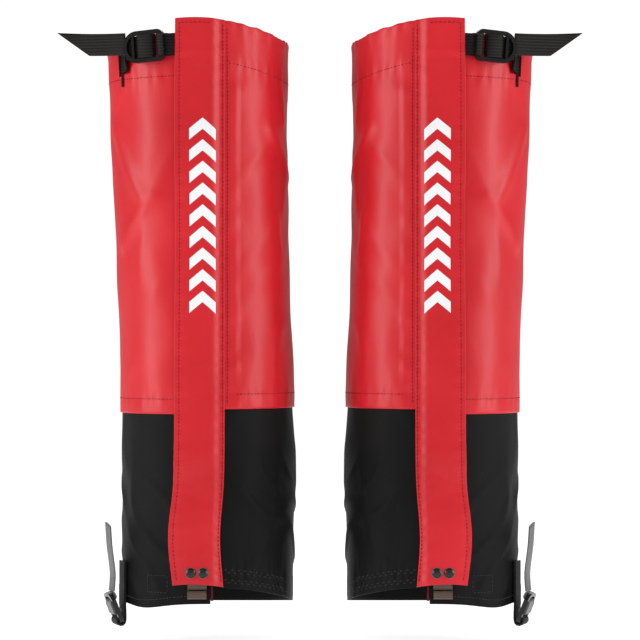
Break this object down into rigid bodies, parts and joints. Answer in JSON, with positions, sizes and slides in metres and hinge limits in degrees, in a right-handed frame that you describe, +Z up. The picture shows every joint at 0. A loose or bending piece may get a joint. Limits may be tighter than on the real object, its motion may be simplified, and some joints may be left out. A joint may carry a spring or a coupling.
{
  "type": "pair of hiking gaiters",
  "caption": "Knee-high fabric sleeves with a full-length front flap, black boot panels, a ladder-lock top strap, a lace hook and a stirrup strap under the boot.",
  "frame": {"origin": "midway between the two sleeves, at the level of the cut hem at the back of the heel", "axes": "+Z up the leg, -Y to the front of the leg, +X to the right as seen from the front; the node names say left for the sleeve at -X"},
  "size_m": [0.3726, 0.1243, 0.4272],
  "materials": {
    "red_cloth": "coated woven nylon with a soft sheen",
    "black_cloth": "heavy woven nylon, matt",
    "maroon_tape": "folded binding tape",
    "black_tape": "hook-and-loop or elastic tape",
    "black_web": "ribbed woven webbing",
    "stirrup_web": "smooth coated webbing with a satin sheen",
    "black_plastic": "moulded, semi-gloss",
    "steel": "bright nickel plate",
    "gunmetal": "dark plate, satin"
  },
  "bodies": {
    "left_sleeve": {"left_upper_outer_panel": "red_cloth", "left_upper_inner_panel": "red_cloth", "left_boot_outer_panel": "black_cloth", "left_boot_inner_panel": "black_cloth", "left_casing_facing_outer": "red_cloth", "left_casing_facing_inner": "red_cloth", "left_front_binding": "maroon_tape", "left_loop_tape": "black_tape", "left_top_strap": "black_web", "left_top_buckle_web": "black_web", "left_bar_tack": "black_web", "left_stirrup_tab": "black_web", "left_hem_elastic": "black_tape"},
    "left_flap": {"left_flap": "red_cloth", "left_hook_tape": "black_tape", "left_lace_hook": "steel", "left_rivet_outer": "gunmetal", "left_rivet_inner": "gunmetal", "left_rivet_washer_outer": "steel", "left_rivet_washer_inner": "steel"},
    "left_top_buckle": {"left_top_buckle": "black_plastic", "left_top_strap_turn": "black_web"},
    "left_top_tail": {"left_top_strap_tail": "black_web"},
    "left_stirrup_buckle": {"left_stirrup_buckle": "black_plastic", "left_stirrup_turn": "stirrup_web"},
    "left_stirrup_tail": {"left_stirrup_tail": "stirrup_web"},
    "left_stirrup_strap": {"left_stirrup_strap": "stirrup_web"},
    "right_sleeve": {"right_upper_outer_panel": "red_cloth", "right_upper_inner_panel": "red_cloth", "right_boot_outer_panel": "black_cloth", "right_boot_inner_panel": "black_cloth", "right_casing_facing_outer": "red_cloth", "right_casing_facing_inner": "red_cloth", "right_front_binding": "maroon_tape", "right_loop_tape": "black_tape", "right_top_strap": "black_web", "right_top_buckle_web": "black_web", "right_bar_tack": "black_web", "right_stirrup_tab": "black_web", "right_hem_elastic": "black_tape"},
    "right_flap": {"right_flap": "red_cloth", "right_hook_tape": "black_tape", "right_lace_hook": "steel", "right_rivet_outer": "gunmetal", "right_rivet_inner": "gunmetal", "right_rivet_washer_outer": "steel", "right_rivet_washer_inner": "steel"},
    "right_top_buckle": {"right_top_buckle": "black_plastic", "right_top_strap_turn": "black_web"},
    "right_top_tail": {"right_top_strap_tail": "black_web"},
    "right_stirrup_buckle": {"right_stirrup_buckle": "black_plastic", "right_stirrup_turn": "stirrup_web"},
    "right_stirrup_tail": {"right_stirrup_tail": "stirrup_web"},
    "right_stirrup_strap": {"right_stirrup_strap": "stirrup_web"}
  },
  "joints": [
    {"name": "left_flap_swing", "type": "hinge", "parent": "left_sleeve", "child": "left_flap", "pos_m": [-0.0662, -0.0572, 0.2], "axis": [0, 0, 1], "range_deg": [0, 165]},
    {"name": "left_top_buckle_lift", "type": "hinge", "parent": "left_sleeve", "child": "left_top_buckle", "pos_m": [-0.10985, -0.06102, 0.39558], "axis": [-0.0647, 0.0261, 0.9976], "range_deg": [0, 55]},
    {"name": "left_top_tail_swing", "type": "hinge", "parent": "left_top_buckle", "child": "left_top_tail", "pos_m": [-0.1369, -0.0473, 0.397], "axis": [0, 0, 1], "range_deg": [-20, 45]},
    {"name": "left_stirrup_buckle_turn", "type": "hinge", "parent": "left_sleeve", "child": "left_stirrup_buckle", "pos_m": [-0.14285, -0.01701, -0.0089], "axis": [0.309, -0.9511, 0], "range_deg": [0, 140]},
    {"name": "left_stirrup_tail_swing", "type": "hinge", "parent": "left_stirrup_buckle", "child": "left_stirrup_tail", "pos_m": [-0.14782, -0.01863, 0.0119], "axis": [0.309, -0.9511, 0], "range_deg": [0, 60]},
    {"name": "left_stirrup_strap_swing", "type": "hinge", "parent": "left_sleeve", "child": "left_stirrup_strap", "pos_m": [-0.02006, 0.01573, 0.006], "axis": [-0.9538, -0.3005, 0], "range_deg": [0, 95]},
    {"name": "right_gaiter_apart", "type": "slide", "parent": "left_sleeve", "child": "right_sleeve", "axis": [1, 0, 0], "range_m": [0, 0.25]},
    {"name": "right_flap_swing", "type": "hinge", "parent": "right_sleeve", "child": "right_flap", "pos_m": [0.0662, -0.0572, 0.2], "axis": [0, 0, -1], "range_deg": [0, 165]},
    {"name": "right_top_buckle_lift", "type": "hinge", "parent": "right_sleeve", "child": "right_top_buckle", "pos_m": [0.10985, -0.06102, 0.39558], "axis": [-0.0647, -0.0261, -0.9976], "range_deg": [0, 55]},
    {"name": "right_top_tail_swing", "type": "hinge", "parent": "right_top_buckle", "child": "right_top_tail", "pos_m": [0.1369, -0.0473, 0.397], "axis": [0, 0, -1], "range_deg": [-20, 45]},
    {"name": "right_stirrup_buckle_turn", "type": "hinge", "parent": "right_sleeve", "child": "right_stirrup_buckle", "pos_m": [0.14285, -0.01701, -0.0089], "axis": [0.309, 0.9511, 0], "range_deg": [0, 140]},
    {"name": "right_stirrup_tail_swing", "type": "hinge", "parent": "right_stirrup_buckle", "child": "right_stirrup_tail", "pos_m": [0.14782, -0.01863, 0.0119], "axis": [0.309, 0.9511, 0], "range_deg": [0, 60]},
    {"name": "right_stirrup_strap_swing", "type": "hinge", "parent": "right_sleeve", "child": "right_stirrup_strap", "pos_m": [0.02006, 0.01573, 0.006], "axis": [-0.9538, 0.3005, 0], "range_deg": [0, 95]}
  ]
}
